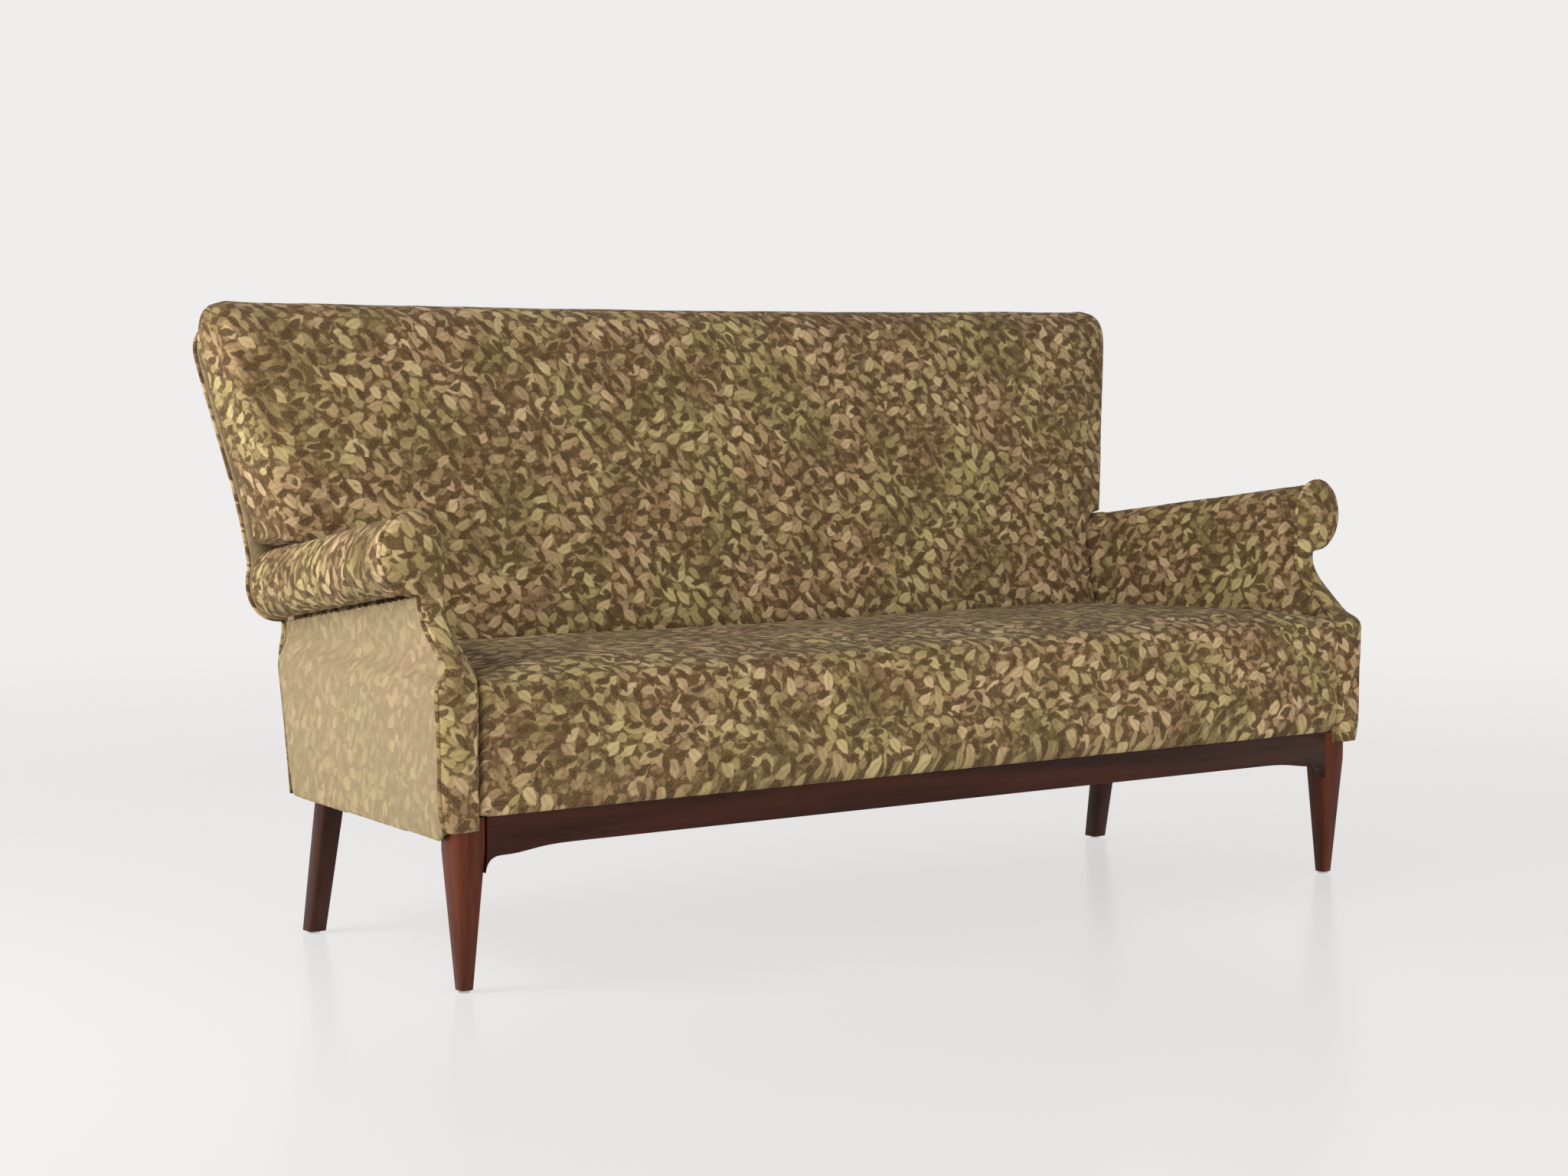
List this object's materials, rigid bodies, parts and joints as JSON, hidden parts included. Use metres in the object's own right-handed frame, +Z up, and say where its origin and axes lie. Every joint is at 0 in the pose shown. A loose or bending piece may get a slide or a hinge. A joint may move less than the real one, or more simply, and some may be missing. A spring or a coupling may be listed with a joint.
{
  "type": "upholstered settee",
  "caption": "Upholstered settee with rolled arms, a leaning back with flared sides, a tight sprung seat, a show-wood front rail with bracket ends and tapered splayed legs.",
  "frame": {"origin": "middle of the settee's footprint, on the floor", "axes": "+X along the settee to the sitter's left, which is the right-hand end seen from the front; +Y from the front to the rear; +Z up"},
  "size_m": [1.718, 0.6818, 0.8853],
  "materials": {
    "cover_fabric": "mottled woven cover in olive, brown and tan",
    "mahogany": "dark red-brown satin lacquer",
    "beech": "planed, unfinished",
    "jute": "coarse weave",
    "lining_cloth": "thin plain weave",
    "spring_steel": "drawn wire",
    "glide_nickel": "nickel plated"
  },
  "bodies": {
    "root": {"arm_board_left": "beech", "arm_board_right": "beech", "arm_facing_left": "cover_fabric", "arm_facing_right": "cover_fabric", "arm_front_post_left": "beech", "arm_front_post_right": "beech", "arm_pad_left": "cover_fabric", "arm_pad_right": "cover_fabric", "arm_rear_post_left": "beech", "arm_rear_post_right": "beech", "arm_shoulder_rail_left": "beech", "arm_shoulder_rail_right": "beech", "arm_tack_rail_left": "beech", "arm_tack_rail_right": "beech", "back_lower_rail": "beech", "back_post_left": "beech", "back_post_right": "beech", "back_strut": "beech", "back_top_rail": "beech", "back_webbing": "jute", "back_wing_left": "beech", "back_wing_right": "beech", "dust_cover": "lining_cloth", "front_corner_block_left": "beech", "front_corner_block_right": "beech", "front_foot_glide_left": "glide_nickel", "front_foot_glide_right": "glide_nickel", "front_leg_left": "mahogany", "front_leg_right": "mahogany", "front_rail": "mahogany", "front_seat_rail": "beech", "inside_back": "cover_fabric", "outside_back": "cover_fabric", "rear_corner_block_left": "beech", "rear_corner_block_right": "beech", "rear_foot_glide_left": "glide_nickel", "rear_foot_glide_right": "glide_nickel", "rear_leg_left": "mahogany", "rear_leg_right": "mahogany", "rear_seat_rail": "beech", "seat_pad": "cover_fabric", "seat_spring_row1_1": "spring_steel", "seat_spring_row1_2": "spring_steel", "seat_spring_row1_3": "spring_steel", "seat_spring_row1_4": "spring_steel", "seat_spring_row1_5": "spring_steel", "seat_spring_row1_6": "spring_steel", "seat_spring_row2_1": "spring_steel", "seat_spring_row2_2": "spring_steel", "seat_spring_row2_3": "spring_steel", "seat_spring_row2_4": "spring_steel", "seat_spring_row2_5": "spring_steel", "seat_spring_row2_6": "spring_steel", "seat_stretcher": "beech", "seat_webbing": "jute", "side_cover_left": "cover_fabric", "side_cover_right": "cover_fabric", "side_seat_rail_left": "beech", "side_seat_rail_right": "beech", "spring_hessian": "jute"}
  },
  "joints": []
}
